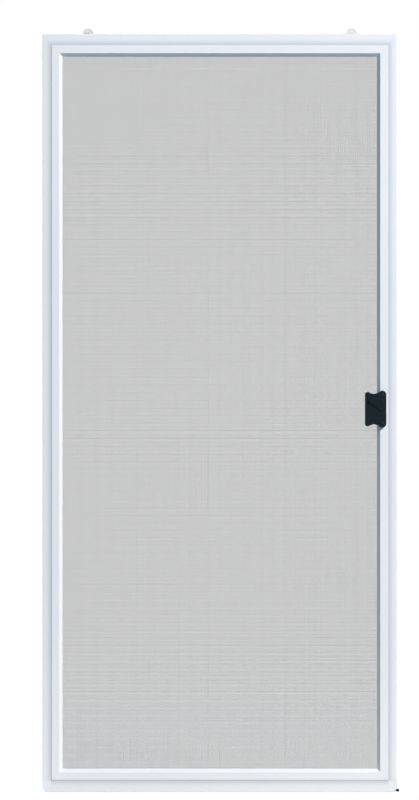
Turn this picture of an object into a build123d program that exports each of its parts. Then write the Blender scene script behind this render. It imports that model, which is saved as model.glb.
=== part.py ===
from build123d import *
from math import sqrt
import os

# Sliding screen door for a patio opening, in millimetres.
# X runs across the door with the pull at +X. Y runs from the outdoor face (-Y) to the indoor face.
# Z runs up. The origin is the middle of the bottom rail's underside, half way through the frame.

# Overall size of the frame
door_width = 914.0
door_height = 1956.0

# Frame section, rolled from steel strip: an outer flange, a sloping step up to a raised flat, and
# a bevel down to a lip that the screen is stretched over
sheet_wall = 0.8
bend_radius = 1.2
flange_thickness = 13.0
raised_thickness = 15.0
stile_flange_width = 22.0
top_flange_width = 28.7
bottom_flange_width = 30.1
step_run = 1.5
raised_width = 21.0
bevel_width = 7.6
lip_thickness = 4.0
lip_width = 3.2

# Screen cloth and the bead that holds it in its groove. The weave is far finer than the door, so the
# cloth is drawn as a net of broad strands that is about as open as the weave
screen_level = 4.0
cloth_thickness = 0.33
net_cells_across = 8
net_cells_up = 18
net_strand_width = 16.0
groove_width = 4.0
groove_depth = 4.1
bead_clearance = 0.2
bead_ribs = 8

# Corner keys inside the flanges, and the notch at each bottom corner
key_leg = 76.0
key_clearance = 0.2
key_tip_chamfer = 2.0
notch_width = 4.5
notch_height = 7.5

# Rubber bumper on the bottom corner of the leading stile
bumper_radius = 3.5
bumper_reach = 6.5
bumper_chamfer = 1.2

# Rollers: a wheel in a forked carriage that an adjusting screw moves in a pocket of the rail
roller_inset = 117.0
wheel_radius = 14.0
wheel_standout = 15.0
wheel_sink = 0.7
roller_travel = 14.0
pocket_wall = 0.6
pocket_clearance = 0.15
pocket_end_gap = 2.0
pocket_floor_gap = 1.0
carriage_clearance = 0.25
arm_wall = 0.8
arm_radius = 6.0
wheel_side_gap = 0.35
wheel_root_gap = 1.5
base_thickness = 1.0
axle_radius = 2.0
running_clearance = 0.05
hub_radius = 5.0
hub_step = 0.5
rim_thickness = 1.6
tread_groove_depth = 1.6

# Adjusting screw beside each wheel
screw_radius = 1.9
screw_head_radius = 3.2
screw_head_thickness = 1.5
screw_head_depth = 0.5
screw_clearance = 0.4
screw_wheel_gap = 3.2
screw_slot_width = 0.9
screw_slot_depth = 0.7
strap_thickness = 1.0

# Latch pulls on both faces of the leading stile
pull_height_level = 988.0
pull_inset = 54.4
pull_width = 53.2
pull_lobe_height = 47.6
pull_left_lobe_height = 44.3
pull_lobe_radius = 10.2
pull_left_lobe_radius = 6.0
pull_waist_radius = 21.5
pull_standoff = 6.0
wing_thickness = 3.0
pull_edge_chamfer = 0.9
pull_foot_margin = 0.5
pull_screw_spacing = 74.0
pull_screw_radius = 1.75
pull_screw_head_radius = 3.4
pull_screw_head_height = 1.7
pull_screw_clearance = 0.3

# Thumb lever on the outdoor pull
lever_offset = 16.0
lever_boss_width = 10.5
lever_boss_height = 41.0
lever_boss_rise = 0.6
lever_boss_lift = 4.0
lever_gap = 0.3
lever_thickness = 2.0
lever_hub_radius = 5.2
lever_knob_radius = 4.0
lever_knob_height = 2.6
lever_reach_across = 32.0
lever_reach_up = 21.0
lever_edge_chamfer = 0.5
spindle_radius = 2.5
spindle_end_gap = 0.5

# Latch case inside the leading stile, with a hook that swings out of the edge
case_height = 60.0
case_wall = 1.5
case_clearance = 0.15
case_edge_gap = 0.3
hook_thickness = 2.5
hook_pivot_depth = 12.0
hook_pivot_drop = 12.0
hook_length = 24.0
hook_half_width = 3.5
hook_nose = 4.5
hook_pin_radius = 2.0
hook_swing_gap = 1.0
latch_slot_width = 4.5

# Sizes worked out from the ones above
half_width = door_width / 2
half_flange = flange_thickness / 2
half_raised = raised_thickness / 2
face_width = raised_width + bevel_width
stile_width = stile_flange_width + face_width
groove_floor = screen_level - groove_depth
flange_hollow = flange_thickness - 2 * sheet_wall
cut_margin = 5.0

os.makedirs("parts", exist_ok=True)


def rolled_section(flange_width):
    """Return a member's hollow section: x runs inwards from the outer edge, y towards indoors."""
    width = flange_width + face_width
    lip_back = width - lip_width
    groove_outer = lip_back - groove_width
    with BuildSketch() as section:
        with BuildLine():
            Polyline(
                (0, -half_flange),
                (flange_width, -half_flange),
                (flange_width + step_run, -half_raised),
                (flange_width + raised_width, -half_raised),
                (width, screen_level - lip_thickness),
                (width, screen_level),
                (lip_back, screen_level),
                (lip_back, groove_floor),
                (groove_outer, groove_floor),
                (groove_outer, half_raised),
                (flange_width + step_run, half_raised),
                (flange_width, half_flange),
                (0, half_flange),
                close=True,
            )
        make_face()
        fillet(section.vertices(), radius=bend_radius)
        offset(amount=-sheet_wall, mode=Mode.SUBTRACT)
    return section.sketch


def corner_points(side, level):
    """Return where the step and the inner edge turn the corner, as points in the door's plane."""
    if level == "top":
        step_height = door_height - top_flange_width
        inner_height = step_height - face_width
    else:
        step_height = bottom_flange_width
        inner_height = step_height + face_width
    step = Vector(side * (half_width - stile_flange_width), step_height)
    inner = Vector(side * (half_width - stile_width), inner_height)
    return step, inner


def past(near, far):
    """Return a point a little past far on the line from near, so that a cut runs right through."""
    return far + (far - near).normalized() * cut_margin


def stile_region(side):
    """Outline of a stile in the door's plane: mitred at the top, butted on the bottom rail."""
    top_step, top_inner = corner_points(side, "top")
    bottom_step, bottom_inner = corner_points(side, "bottom")
    outer_top = Vector(side * half_width, door_height)
    return [
        Vector(side * (half_width + cut_margin), bottom_flange_width),
        bottom_step,
        past(bottom_step, bottom_inner),
        past(top_step, top_inner),
        top_step,
        past(top_step, outer_top),
    ]


def top_region():
    """Outline of the top rail in the door's plane, mitred at both ends."""
    left_step, left_inner = corner_points(-1, "top")
    right_step, right_inner = corner_points(1, "top")
    return [
        past(left_step, Vector(-half_width, door_height)),
        left_step,
        past(left_step, left_inner),
        past(right_step, right_inner),
        right_step,
        past(right_step, Vector(half_width, door_height)),
    ]


def bottom_region():
    """Outline of the bottom rail in the door's plane: its flange runs on under both stiles."""
    left_step, left_inner = corner_points(-1, "bottom")
    right_step, right_inner = corner_points(1, "bottom")
    return [
        Vector(-half_width - cut_margin, -cut_margin),
        Vector(-half_width - cut_margin, bottom_flange_width),
        left_step,
        past(left_step, left_inner),
        past(right_step, right_inner),
        right_step,
        Vector(half_width + cut_margin, bottom_flange_width),
        Vector(half_width + cut_margin, -cut_margin),
    ]


# Each member starts on a plane across its run, with x inwards from the outer edge and y indoors
left_plane = Plane(origin=(-half_width, 0, 0), x_dir=(1, 0, 0), z_dir=(0, 0, 1))
right_plane = Plane(origin=(half_width, 0, door_height), x_dir=(-1, 0, 0), z_dir=(0, 0, -1))
top_plane = Plane(origin=(-half_width, 0, door_height), x_dir=(0, 0, -1), z_dir=(1, 0, 0))
bottom_plane = Plane(origin=(half_width, 0, 0), x_dir=(0, 0, 1), z_dir=(-1, 0, 0))

# Roller sizes: the pocket fills the flange's hollow, and the fork and wheel fill the pocket
pocket_outer_width = flange_hollow - 2 * pocket_clearance
pocket_inner_width = pocket_outer_width - 2 * pocket_wall
carriage_width = pocket_inner_width - 2 * carriage_clearance
fork_gap = carriage_width - 2 * arm_wall
wheel_width = fork_gap - 2 * wheel_side_gap
rim_side = wheel_width / 2 - hub_step
top_axle_level = wheel_standout - wheel_radius
bottom_axle_level = -(wheel_sink + wheel_radius)
deepest_axle = min(bottom_axle_level, top_axle_level - roller_travel)
base_drop = wheel_radius + wheel_root_gap
screw_offset = wheel_radius + screw_wheel_gap + screw_head_radius
tab_end = screw_offset + screw_head_radius
pocket_start = -(wheel_radius + pocket_end_gap)
pocket_end = tab_end + carriage_clearance + pocket_clearance
pocket_length = pocket_end - pocket_start
pocket_floor = deepest_axle - base_drop - base_thickness - pocket_floor_gap
strap_start = wheel_radius + screw_wheel_gap - pocket_end_gap / 2
strap_level = -(screw_head_depth + screw_head_thickness)

# Latch sizes, from the pull's place on the leading stile
pull_centre = Vector(half_width - pull_inset, pull_height_level)
lever_centre = pull_centre + Vector(lever_offset, 0)
raised_inner_edge = half_width - stile_flange_width - raised_width
wing_back = half_raised + pull_standoff
wing_front = wing_back + wing_thickness
pull_foot_left = raised_inner_edge + pull_foot_margin
lever_back = wing_front + lever_boss_rise + lever_gap
hook_pivot = Vector(half_width - hook_pivot_depth, pull_height_level - hook_pivot_drop)
case_thickness = flange_hollow - 2 * case_clearance
hook_sweep = hook_length + hook_half_width + hook_swing_gap


def roller_place(side, edge_level, outward):
    """Return a side view of one roller: x towards the door's middle, y out of the rail's edge."""
    origin = (side * (half_width - roller_inset), 0, edge_level)
    return Plane(origin=origin, x_dir=(-side, 0, 0), z_dir=(0, side * outward, 0))


rollers = [
    ("top_left", roller_place(-1, door_height, 1), 1, top_axle_level),
    ("top_right", roller_place(1, door_height, 1), 1, top_axle_level),
    ("bottom_left", roller_place(-1, 0, -1), -1, bottom_axle_level),
    ("bottom_right", roller_place(1, 0, -1), -1, bottom_axle_level),
]


# Left stile, on the trailing edge
with BuildPart() as left_stile:
    with BuildSketch(left_plane):
        add(rolled_section(stile_flange_width))
    extrude(amount=door_height)
    with BuildSketch(Plane.XZ):
        Polygon(*stile_region(-1), align=None)
    extrude(amount=raised_thickness, both=True, mode=Mode.INTERSECT)
left_stile.part.label = "left_stile"
export_step(left_stile.part, "parts/left_stile.step")


# Right stile, on the leading edge, cut for the latch: two screw holes right through, a hole for
# the lever's spindle in the outdoor face, and a slot in the edge for the hook
with BuildPart() as right_stile:
    with BuildSketch(right_plane):
        add(rolled_section(stile_flange_width))
    extrude(amount=door_height)
    with BuildSketch(Plane.XZ):
        Polygon(*stile_region(1), align=None)
    extrude(amount=raised_thickness, both=True, mode=Mode.INTERSECT)
    with BuildSketch(Plane.XZ):
        with Locations((lever_centre.X, lever_centre.Y)):
            with GridLocations(pull_screw_spacing, pull_screw_spacing, 1, 2):
                Circle(pull_screw_radius + pull_screw_clearance)
    extrude(amount=raised_thickness, both=True, mode=Mode.SUBTRACT)
    with BuildSketch(Plane.XZ):
        with Locations((lever_centre.X, lever_centre.Y)):
            Circle(spindle_radius + pull_screw_clearance)
    extrude(amount=raised_thickness, mode=Mode.SUBTRACT)
    with BuildSketch(Plane.YZ.offset(half_width - sheet_wall - case_edge_gap)):
        with Locations((0, hook_pivot.Y - hook_half_width - hook_swing_gap)):
            Rectangle(
                latch_slot_width,
                hook_half_width + hook_swing_gap + hook_sweep,
                align=(Align.CENTER, Align.MIN),
            )
    extrude(amount=cut_margin, mode=Mode.SUBTRACT)
right_stile.part.label = "right_stile"
export_step(right_stile.part, "parts/right_stile.step")


# Top rail and bottom rail, each with a slot in its outer edge at the mouth of each roller pocket
with BuildPart() as top_rail:
    with BuildSketch(top_plane):
        add(rolled_section(top_flange_width))
    extrude(amount=door_width)
    with BuildSketch(Plane.XZ):
        Polygon(*top_region(), align=None)
    extrude(amount=raised_thickness, both=True, mode=Mode.INTERSECT)
    for _, side_view, _, _ in rollers[:2]:
        with BuildSketch(side_view):
            with Locations((pocket_start, 0)):
                Rectangle(pocket_length, 2 * sheet_wall, align=(Align.MIN, Align.CENTER))
        extrude(amount=pocket_inner_width / 2, both=True, mode=Mode.SUBTRACT)
top_rail.part.label = "top_rail"
export_step(top_rail.part, "parts/top_rail.step")

with BuildPart() as bottom_rail:
    with BuildSketch(bottom_plane):
        add(rolled_section(bottom_flange_width))
    extrude(amount=door_width)
    with BuildSketch(Plane.XZ):
        Polygon(*bottom_region(), align=None)
    extrude(amount=raised_thickness, both=True, mode=Mode.INTERSECT)
    with BuildSketch(Plane.XZ):
        with GridLocations(door_width, 2 * door_height, 2, 1):
            Rectangle(2 * notch_width, 2 * notch_height)
    extrude(amount=raised_thickness, both=True, mode=Mode.SUBTRACT)
    for _, side_view, _, _ in rollers[2:]:
        with BuildSketch(side_view):
            with Locations((pocket_start, 0)):
                Rectangle(pocket_length, 2 * sheet_wall, align=(Align.MIN, Align.CENTER))
        extrude(amount=pocket_inner_width / 2, both=True, mode=Mode.SUBTRACT)
bottom_rail.part.label = "bottom_rail"
export_step(bottom_rail.part, "parts/bottom_rail.step")


# Corner keys: an angle that fills the flanges' hollow round each corner. A bottom key also closes
# the open end of the bottom rail, behind its notch
key_inset = sheet_wall + key_clearance
key_thickness = flange_hollow - 2 * key_clearance
for level, edge_level, inwards, rail_flange in (
    ("top", door_height, -1, top_flange_width),
    ("bottom", 0, 1, bottom_flange_width),
):
    for side_name, side in (("left", -1), ("right", 1)):
        corner_view = Plane(
            origin=(side * half_width, 0, edge_level),
            x_dir=(-side, 0, 0),
            z_dir=(0, side * inwards, 0),
        )
        with BuildPart() as corner_key:
            with BuildSketch(corner_view) as key_outline:
                with Locations((key_inset, key_inset)):
                    Rectangle(
                        key_leg,
                        rail_flange - key_inset - key_clearance,
                        align=(Align.MIN, Align.MIN),
                    )
                    Rectangle(
                        stile_flange_width - key_inset - key_clearance,
                        key_leg,
                        align=(Align.MIN, Align.MIN),
                    )
                tips = key_outline.vertices().filter_by_position(
                    Axis.X, key_leg, key_leg + 2 * key_inset
                ) + key_outline.vertices().filter_by_position(Axis.Y, key_leg, key_leg + 2 * key_inset)
                chamfer(tips, length=key_tip_chamfer)
                if level == "bottom":
                    with Locations((0, key_inset)):
                        Rectangle(
                            key_inset,
                            rail_flange - key_inset - key_clearance,
                            align=(Align.MIN, Align.MIN),
                        )
                    Rectangle(2 * notch_width, 2 * notch_height, mode=Mode.SUBTRACT)
            extrude(amount=key_thickness / 2, both=True)
        key_name = f"{level}_{side_name}_corner_key"
        corner_key.part.label = key_name
        export_step(corner_key.part, f"parts/{key_name}.step")


# Screen cloth, stretched over the lips, as a net with a selvedge along the lips
screen_width = 2 * (half_width - stile_width + lip_width)
screen_bottom = bottom_flange_width + face_width - lip_width
screen_top = door_height - top_flange_width - face_width + lip_width
screen_height = screen_top - screen_bottom
net_pitch_across = (screen_width - 2 * lip_width) / net_cells_across
net_pitch_up = (screen_height - 2 * lip_width) / net_cells_up
with BuildPart() as screen_mesh:
    with BuildSketch(Plane.XZ.offset(-screen_level - cloth_thickness)):
        with Locations((0, screen_bottom + screen_height / 2)):
            Rectangle(screen_width, screen_height)
            with GridLocations(net_pitch_across, net_pitch_up, net_cells_across, net_cells_up):
                Rectangle(
                    net_pitch_across - net_strand_width,
                    net_pitch_up - net_strand_width,
                    mode=Mode.SUBTRACT,
                )
    extrude(amount=cloth_thickness)
screen_mesh.part.label = "screen_mesh"
export_step(screen_mesh.part, "parts/screen_mesh.step")


# Ribbed bead pressed into the groove of each member, mitred where two lengths meet. Its flats
# touch the groove's floor and face its walls
bead_radius = groove_width / 2 - bead_clearance
for bead_name, plane, flange_width, run, region in (
    ("left_bead", left_plane, stile_flange_width, door_height, stile_region(-1)),
    ("right_bead", right_plane, stile_flange_width, door_height, stile_region(1)),
    ("top_bead", top_plane, top_flange_width, door_width, top_region()),
    ("bottom_bead", bottom_plane, bottom_flange_width, door_width, bottom_region()),
):
    with BuildPart() as bead:
        with BuildSketch(plane):
            with Locations(
                (flange_width + face_width - lip_width - groove_width / 2, groove_floor + bead_radius)
            ):
                RegularPolygon(
                    bead_radius, bead_ribs, major_radius=False, rotation=180 / bead_ribs
                )
        extrude(amount=run)
        with BuildSketch(Plane.XZ):
            Polygon(*region, align=None)
        extrude(amount=raised_thickness, both=True, mode=Mode.INTERSECT)
    bead.part.label = bead_name
    export_step(bead.part, f"parts/{bead_name}.step")


# Rubber bumper in the notch of the leading bottom corner
with BuildPart() as edge_bumper:
    with BuildSketch(Plane.YZ.offset(half_width - notch_width)):
        with Locations((0, notch_height - bumper_radius - key_clearance)):
            Circle(bumper_radius)
    extrude(amount=notch_width + bumper_reach)
    chamfer(edge_bumper.faces().sort_by(Axis.X)[-1].edges(), length=bumper_chamfer)
edge_bumper.part.label = "edge_bumper"
export_step(edge_bumper.part, "parts/edge_bumper.step")


# The four rollers. Each is drawn in its side view and grows both ways from the frame's middle
for corner_name, side_view, outward, axle_level in rollers:
    screw_seat = side_view.from_local_coords((screw_offset, strap_level, 0))
    screw_view = Plane(origin=screw_seat, x_dir=(1, 0, 0), z_dir=(0, 0, outward))
    axle_point = side_view.from_local_coords((0, axle_level, 0))

    # Pocket pressed from sheet, open at the rail's edge, with a strap that the screw hangs in
    with BuildPart() as housing:
        with BuildSketch(side_view):
            with Locations((pocket_start - pocket_wall, -sheet_wall - pocket_clearance)):
                Rectangle(
                    pocket_length + 2 * pocket_wall,
                    -pocket_floor + pocket_wall - sheet_wall - pocket_clearance,
                    align=(Align.MIN, Align.MAX),
                )
        extrude(amount=pocket_outer_width / 2, both=True)
        with BuildSketch(side_view):
            with Locations((pocket_start, pocket_floor)):
                Rectangle(pocket_length, -pocket_floor, align=(Align.MIN, Align.MIN))
        extrude(amount=pocket_inner_width / 2, both=True, mode=Mode.SUBTRACT)
        with BuildSketch(side_view):
            with Locations((strap_start, strap_level)):
                Rectangle(pocket_end - strap_start, strap_thickness, align=(Align.MIN, Align.MAX))
        extrude(amount=pocket_inner_width / 2, both=True)
        with BuildSketch(screw_view):
            Circle(screw_radius + running_clearance)
        extrude(amount=-2 * strap_thickness, mode=Mode.SUBTRACT)
    housing.part.label = f"{corner_name}_roller_housing"
    export_step(housing.part, f"parts/{corner_name}_roller_housing.step")

    # Forked carriage: two arms round the wheel, and a base with a tab that the screw turns in
    with BuildPart() as carriage:
        with BuildSketch(side_view):
            with Locations((0, axle_level)):
                Circle(arm_radius)
                Rectangle(2 * arm_radius, base_drop, align=(Align.CENTER, Align.MAX))
        extrude(amount=carriage_width / 2, both=True)
        with BuildSketch(side_view):
            with Locations((0, axle_level - base_drop)):
                Rectangle(
                    4 * arm_radius, base_drop + 2 * arm_radius, align=(Align.CENTER, Align.MIN)
                )
        extrude(amount=fork_gap / 2, both=True, mode=Mode.SUBTRACT)
        with BuildSketch(side_view):
            with Locations((-arm_radius, axle_level - base_drop)):
                Rectangle(tab_end + arm_radius, base_thickness, align=(Align.MIN, Align.MAX))
        extrude(amount=carriage_width / 2, both=True)
        with BuildSketch(side_view):
            with Locations((0, axle_level)):
                Circle(axle_radius)
        extrude(amount=carriage_width, both=True, mode=Mode.SUBTRACT)
        with BuildSketch(screw_view):
            Circle(screw_radius + screw_clearance)
        extrude(amount=pocket_floor, mode=Mode.SUBTRACT)
    carriage.part.label = f"{corner_name}_carriage"
    export_step(carriage.part, f"parts/{corner_name}_carriage.step")

    # Axle pinned across the fork
    with BuildPart() as axle:
        with BuildSketch(side_view):
            with Locations((0, axle_level)):
                Circle(axle_radius)
        extrude(amount=carriage_width / 2, both=True)
    axle.part.label = f"{corner_name}_axle"
    export_step(axle.part, f"parts/{corner_name}_axle.step")

    # Moulded wheel with a proud hub, and a groove between two rims that rides on the track's bead
    with BuildPart() as wheel:
        with BuildSketch(Plane(origin=axle_point, x_dir=(0, 0, 1), z_dir=(-1, 0, 0))):
            with BuildLine():
                Polyline(
                    (axle_radius + running_clearance, 0),
                    (axle_radius + running_clearance, wheel_width / 2),
                    (hub_radius, wheel_width / 2),
                    (hub_radius, rim_side),
                    (wheel_radius, rim_side),
                    (wheel_radius, rim_side - rim_thickness),
                    (wheel_radius - tread_groove_depth, rim_side - rim_thickness),
                    (wheel_radius - tread_groove_depth, 0),
                )
                mirror(about=Plane.XZ)
            make_face()
        revolve(axis=Axis(axle_point, (0, 1, 0)))
    wheel.part.label = f"{corner_name}_wheel"
    export_step(wheel.part, f"parts/{corner_name}_wheel.step")

    # Adjusting screw: head on the strap, foot just off the pocket's floor
    with BuildPart() as screw:
        with BuildSketch(screw_view):
            Circle(screw_head_radius)
        extrude(amount=screw_head_thickness)
        with BuildSketch(screw_view):
            Circle(screw_radius)
        extrude(amount=pocket_floor - strap_level + pocket_clearance)
        with BuildSketch(screw_view.offset(screw_head_thickness)):
            Rectangle(2 * screw_head_radius, screw_slot_width)
        extrude(amount=-screw_slot_depth, mode=Mode.SUBTRACT)
    screw.part.label = f"{corner_name}_adjusting_screw"
    export_step(screw.part, f"parts/{corner_name}_adjusting_screw.step")


def pull_outline():
    """Return the pull's shape about its own middle: four lobes and two waists, all tangent arcs."""
    left_lobe = Vector(
        pull_left_lobe_radius - pull_width / 2, pull_left_lobe_height - pull_left_lobe_radius
    )
    right_lobe = Vector(pull_width / 2 - pull_lobe_radius, pull_lobe_height - pull_lobe_radius)
    between = right_lobe - left_lobe
    left_span = pull_left_lobe_radius + pull_waist_radius
    right_span = pull_lobe_radius + pull_waist_radius
    along = (between.length**2 + left_span**2 - right_span**2) / (2 * between.length)
    direction = between.normalized()
    waist_centre = (
        left_lobe + direction * along + direction.rotate(Axis.Z, 90) * sqrt(left_span**2 - along**2)
    )
    waist_start = left_lobe + (waist_centre - left_lobe).normalized() * pull_left_lobe_radius
    waist_end = right_lobe + (waist_centre - right_lobe).normalized() * pull_lobe_radius
    with BuildSketch() as outline:
        with BuildLine():
            left_side = (-pull_width / 2, left_lobe.Y)
            right_side = (pull_width / 2, right_lobe.Y)
            Line((-pull_width / 2, 0), left_side)
            RadiusArc(left_side, waist_start, pull_left_lobe_radius)
            RadiusArc(waist_start, waist_end, -pull_waist_radius)
            RadiusArc(waist_end, right_side, pull_lobe_radius)
            Line(right_side, (pull_width / 2, 0))
            mirror(about=Plane.XZ)
        make_face()
    return outline.sketch


# Outdoor and indoor pull: a foot on the stile's raised flat carries a wing over the screen, with
# room for fingers behind it. The outdoor one has a raised boss round the lever's spindle
for pull_name, facing in (("front_pull", 1), ("rear_pull", -1)):
    foot_plane = Plane.XZ.offset(facing * half_raised)
    wing_plane = Plane.XZ.offset(facing * wing_back)
    face_plane = Plane.XZ.offset(facing * wing_front)
    with BuildPart() as pull:
        with BuildSketch(wing_plane):
            with Locations((pull_centre.X, pull_centre.Y)):
                add(pull_outline())
        extrude(amount=facing * wing_thickness)
        outer_face = pull.faces().sort_by(Axis.Y)[0 if facing > 0 else -1]
        chamfer(outer_face.edges(), length=pull_edge_chamfer)
        with BuildSketch(foot_plane):
            with Locations((pull_centre.X, pull_centre.Y)):
                add(pull_outline())
            with Locations((pull_foot_left, pull_centre.Y)):
                Rectangle(
                    pull_width,
                    2 * pull_lobe_height,
                    align=(Align.MIN, Align.CENTER),
                    mode=Mode.INTERSECT,
                )
        extrude(amount=facing * pull_standoff)
        if facing > 0:
            with BuildSketch(face_plane):
                with Locations((lever_centre.X, lever_centre.Y + lever_boss_lift)):
                    RectangleRounded(lever_boss_width, lever_boss_height, lever_boss_width / 2 - 0.1)
            extrude(amount=lever_boss_rise)
            with BuildSketch(face_plane):
                with Locations((lever_centre.X, lever_centre.Y)):
                    Circle(spindle_radius + running_clearance)
            extrude(amount=wing_thickness, both=True, mode=Mode.SUBTRACT)
            with BuildSketch(foot_plane):
                with Locations((lever_centre.X, lever_centre.Y)):
                    Circle(spindle_radius + pull_screw_clearance)
            extrude(amount=pull_standoff, mode=Mode.SUBTRACT)
        with BuildSketch(foot_plane):
            with Locations((lever_centre.X, lever_centre.Y)):
                with GridLocations(pull_screw_spacing, pull_screw_spacing, 1, 2):
                    Circle(pull_screw_radius + running_clearance)
        extrude(amount=facing * (pull_standoff + wing_thickness), mode=Mode.SUBTRACT)
    pull.part.label = pull_name
    export_step(pull.part, f"parts/{pull_name}.step")


# Screws through both pulls and the stile, with chamfered heads on the outdoor pull
for screw_name, direction in (("upper_pull_screw", 1), ("lower_pull_screw", -1)):
    head_centre = (lever_centre.X, lever_centre.Y + direction * pull_screw_spacing / 2)
    with BuildPart() as pull_screw:
        with BuildSketch(Plane.XZ.offset(wing_front)):
            with Locations(head_centre):
                Circle(pull_screw_head_radius)
        extrude(amount=pull_screw_head_height)
        chamfer(pull_screw.faces().sort_by(Axis.Y)[0].edges(), length=pull_screw_head_height / 2)
        with BuildSketch(Plane.XZ.offset(wing_front)):
            with Locations(head_centre):
                Circle(pull_screw_radius)
        extrude(amount=-2 * wing_front)
    pull_screw.part.label = screw_name
    export_step(pull_screw.part, f"parts/{screw_name}.step")


# Thumb lever: hub on the boss, tapered arm, round knob, and a spindle that reaches the case
knob_centre = lever_centre + Vector(-lever_reach_across, lever_reach_up)
spindle_length = lever_back + case_thickness / 2 - case_wall - spindle_end_gap
with BuildPart() as thumb_lever:
    with BuildSketch(Plane.XZ.offset(lever_back)) as lever_outline:
        with Locations((lever_centre.X, lever_centre.Y)):
            Circle(lever_hub_radius)
        with Locations((knob_centre.X, knob_centre.Y)):
            Circle(lever_knob_radius)
        make_hull()
    extrude(amount=lever_thickness)
    chamfer(thumb_lever.faces().sort_by(Axis.Y)[0].edges(), length=lever_edge_chamfer)
    with BuildSketch(Plane.XZ.offset(lever_back + lever_thickness)):
        with Locations((knob_centre.X, knob_centre.Y)):
            Circle(lever_knob_radius - lever_edge_chamfer)
    extrude(amount=lever_knob_height)
    chamfer(thumb_lever.faces().sort_by(Axis.Y)[0].edges(), length=2 * lever_edge_chamfer)
    with BuildSketch(Plane.XZ.offset(lever_back)):
        with Locations((lever_centre.X, lever_centre.Y)):
            Circle(spindle_radius)
    extrude(amount=-spindle_length)
thumb_lever.part.label = "thumb_lever"
export_step(thumb_lever.part, "parts/thumb_lever.step")


# Latch case: a closed block in the stile's hollow, with a pocket that the hook swings in
case_right = half_width - sheet_wall - case_edge_gap
case_left = lever_centre.X - spindle_radius - case_wall
pocket_left = hook_pivot.X - hook_half_width - hook_nose - hook_swing_gap
hook_pocket_bottom = hook_pivot.Y - hook_half_width - hook_swing_gap
with BuildPart() as latch_case:
    with BuildSketch(Plane.XZ):
        with Locations((case_left, pull_height_level)):
            Rectangle(case_right - case_left, case_height, align=(Align.MIN, Align.CENTER))
    extrude(amount=case_thickness / 2, both=True)
    with BuildSketch(Plane.XZ):
        with Locations((pocket_left, hook_pocket_bottom)):
            Rectangle(
                case_right - pocket_left,
                hook_half_width + hook_swing_gap + hook_sweep,
                align=(Align.MIN, Align.MIN),
            )
    extrude(amount=case_thickness / 2 - case_wall, both=True, mode=Mode.SUBTRACT)
    with BuildSketch(Plane.XZ):
        with Locations((hook_pivot.X, hook_pivot.Y)):
            Circle(hook_pin_radius)
    extrude(amount=case_thickness, both=True, mode=Mode.SUBTRACT)
    with BuildSketch(Plane.XZ.offset(case_wall - case_thickness / 2)):
        with Locations((lever_centre.X, lever_centre.Y)):
            Circle(spindle_radius + running_clearance)
    extrude(amount=case_thickness, mode=Mode.SUBTRACT)
latch_case.part.label = "latch_case"
export_step(latch_case.part, "parts/latch_case.step")

with BuildPart() as hook_pin:
    with BuildSketch(Plane.XZ):
        with Locations((hook_pivot.X, hook_pivot.Y)):
            Circle(hook_pin_radius)
    extrude(amount=case_thickness / 2, both=True)
hook_pin.part.label = "hook_pin"
export_step(hook_pin.part, "parts/hook_pin.step")


# Latch hook, drawn swung in: its arm stands up beside the edge with its nose turned inwards
with BuildPart() as latch_hook:
    with BuildSketch(Plane.XZ):
        with Locations((hook_pivot.X, hook_pivot.Y)):
            Circle(hook_half_width)
            Rectangle(2 * hook_half_width, hook_length, align=(Align.CENTER, Align.MIN))
        with Locations((hook_pivot.X + hook_half_width, hook_pivot.Y + hook_length)):
            Rectangle(
                2 * hook_half_width + hook_nose, 2 * hook_half_width, align=(Align.MAX, Align.MAX)
            )
    extrude(amount=hook_thickness / 2, both=True)
    with BuildSketch(Plane.XZ):
        with Locations((hook_pivot.X, hook_pivot.Y)):
            Circle(hook_pin_radius + running_clearance)
    extrude(amount=hook_thickness, both=True, mode=Mode.SUBTRACT)
    nose_edges = latch_hook.edges().filter_by(Axis.Y).group_by(Axis.Z)[-1]
    fillet(nose_edges, radius=hook_half_width / 2)
latch_hook.part.label = "latch_hook"
export_step(latch_hook.part, "parts/latch_hook.step")
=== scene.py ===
import logging
import math
from dataclasses import dataclass, field
from enum import Enum
from typing import Any, Optional, Union

import bmesh
import bpy
import numpy as np
from bpy.types import ID, Material, Node, NodeSocket, NodeTree, Object
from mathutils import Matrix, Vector


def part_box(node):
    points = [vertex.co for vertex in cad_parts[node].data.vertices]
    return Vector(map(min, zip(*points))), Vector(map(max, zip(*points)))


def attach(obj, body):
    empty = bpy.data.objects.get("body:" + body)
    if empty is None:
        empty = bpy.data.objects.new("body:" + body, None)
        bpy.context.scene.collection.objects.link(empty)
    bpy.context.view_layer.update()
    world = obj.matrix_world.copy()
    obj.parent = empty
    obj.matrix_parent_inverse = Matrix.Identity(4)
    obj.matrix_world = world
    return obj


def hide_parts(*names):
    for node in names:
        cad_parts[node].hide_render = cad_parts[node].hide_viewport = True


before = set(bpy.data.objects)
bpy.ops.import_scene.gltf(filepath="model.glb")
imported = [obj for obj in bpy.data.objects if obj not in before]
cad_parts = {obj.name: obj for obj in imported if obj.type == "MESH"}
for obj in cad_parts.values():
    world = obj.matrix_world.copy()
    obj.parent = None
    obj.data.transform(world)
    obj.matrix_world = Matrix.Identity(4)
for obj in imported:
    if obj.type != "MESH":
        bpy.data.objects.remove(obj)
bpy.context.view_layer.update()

# Dresses a sliding patio screen door: white enamelled steel frame, woven insect screen with its
# ribbed bead, nylon rollers and black moulded pulls. Lengths are metres unless a name ends in _mm.

log = logging.getLogger("screen_door")
MM = 0.001
DOOR_BODY = "frame"
CORNERS = ("top_left", "top_right", "bottom_left", "bottom_right")
MERGE_DISTANCE = 1e-6
WHITE = (1.0, 1.0, 1.0, 1.0)
SHADER_NODE = "ShaderNode"
# Nearly all values of a noise texture lie between these two
NOISE_LOW, NOISE_HIGH = 0.3, 0.7
# What can feed a socket: another socket, or a node by its first output
Source = Union[Node, NodeSocket]


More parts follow.
